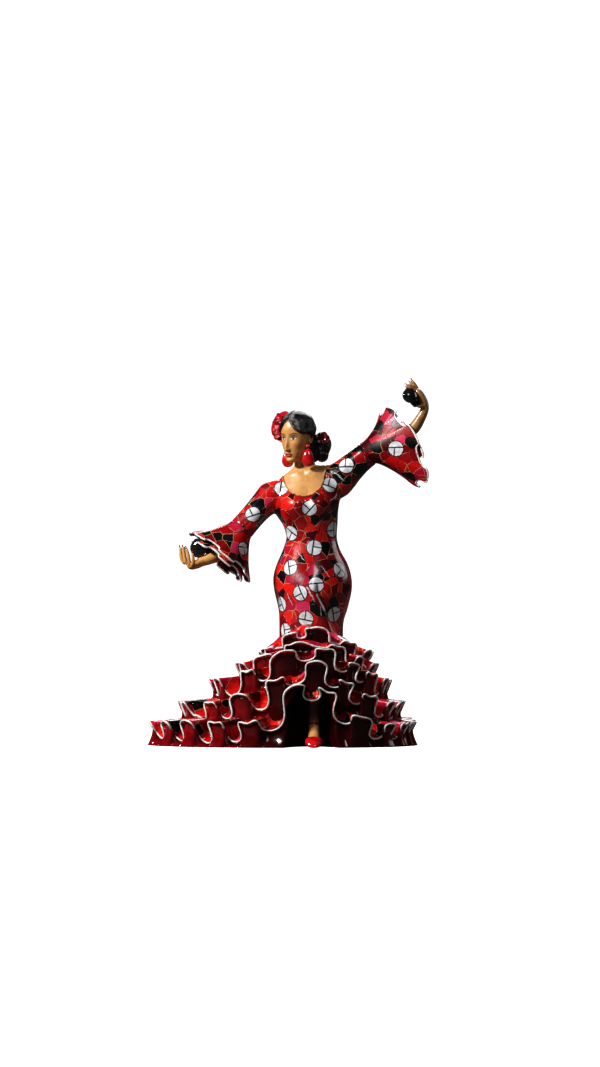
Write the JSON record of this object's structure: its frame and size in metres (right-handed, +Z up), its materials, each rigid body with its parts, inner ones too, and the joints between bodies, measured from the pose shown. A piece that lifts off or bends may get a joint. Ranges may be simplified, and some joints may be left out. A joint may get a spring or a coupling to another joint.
{
  "type": "souvenir figurine",
  "caption": "Hand painted resin souvenir of a flamenco dancer in a mosaic-patterned ruffled dress, one arm raised, castanets in both hands.",
  "frame": {"origin": "centre of the skirt's footprint, on the plane the figurine stands on", "axes": "+Z up, the dancer faces -Y, her raised left arm is on the +X side"},
  "size_m": [0.1849, 0.1296, 0.2396],
  "materials": {
    "skirt_paint": "hand painted resin, mosaic of reds and black on the slopes, dark red walls, varnished",
    "cuff_paint": "hand painted resin, mosaic of reds with white edge line, varnished",
    "dress_paint": "hand painted resin, mosaic of reds and black with white discs and gilt lines, varnished",
    "skin_paint": "painted resin, varnished",
    "hair_paint": "painted resin, glossy black",
    "castanet_lacquer": "glossy black lacquer",
    "steel": "drawn wire",
    "dark_red_lacquer": "glossy dark red paint",
    "red_lacquer": "glossy red paint"
  },
  "bodies": {
    "root": {"skirt_core": "skirt_paint", "flounce_1": "skirt_paint", "flounce_2": "skirt_paint", "flounce_3": "skirt_paint", "flounce_4": "skirt_paint", "flounce_5": "skirt_paint", "dress_body": "dress_paint", "core_pin": "steel", "chest": "skin_paint", "neck_pin": "steel", "head": "skin_paint", "hair": "hair_paint", "hair_bun": "hair_paint", "side_flower": "red_lacquer", "bun_flower": "dark_red_lacquer", "earring_left": "red_lacquer", "earring_right": "red_lacquer", "sleeve_left": "dress_paint", "sleeve_right": "dress_paint", "shoulder_pin_left": "steel", "shoulder_pin_right": "steel", "cuff_left_outer": "cuff_paint", "cuff_left_inner": "cuff_paint", "cuff_right_outer": "cuff_paint", "cuff_right_inner": "cuff_paint", "hand_left": "skin_paint", "hand_right": "skin_paint", "arm_wire_left": "steel", "arm_wire_right": "steel", "castanet_left_front": "castanet_lacquer", "castanet_left_back": "castanet_lacquer", "castanet_right_front": "castanet_lacquer", "castanet_right_back": "castanet_lacquer", "leg": "skin_paint", "ankle_strap": "dark_red_lacquer", "shoe": "red_lacquer"}
  },
  "joints": []
}
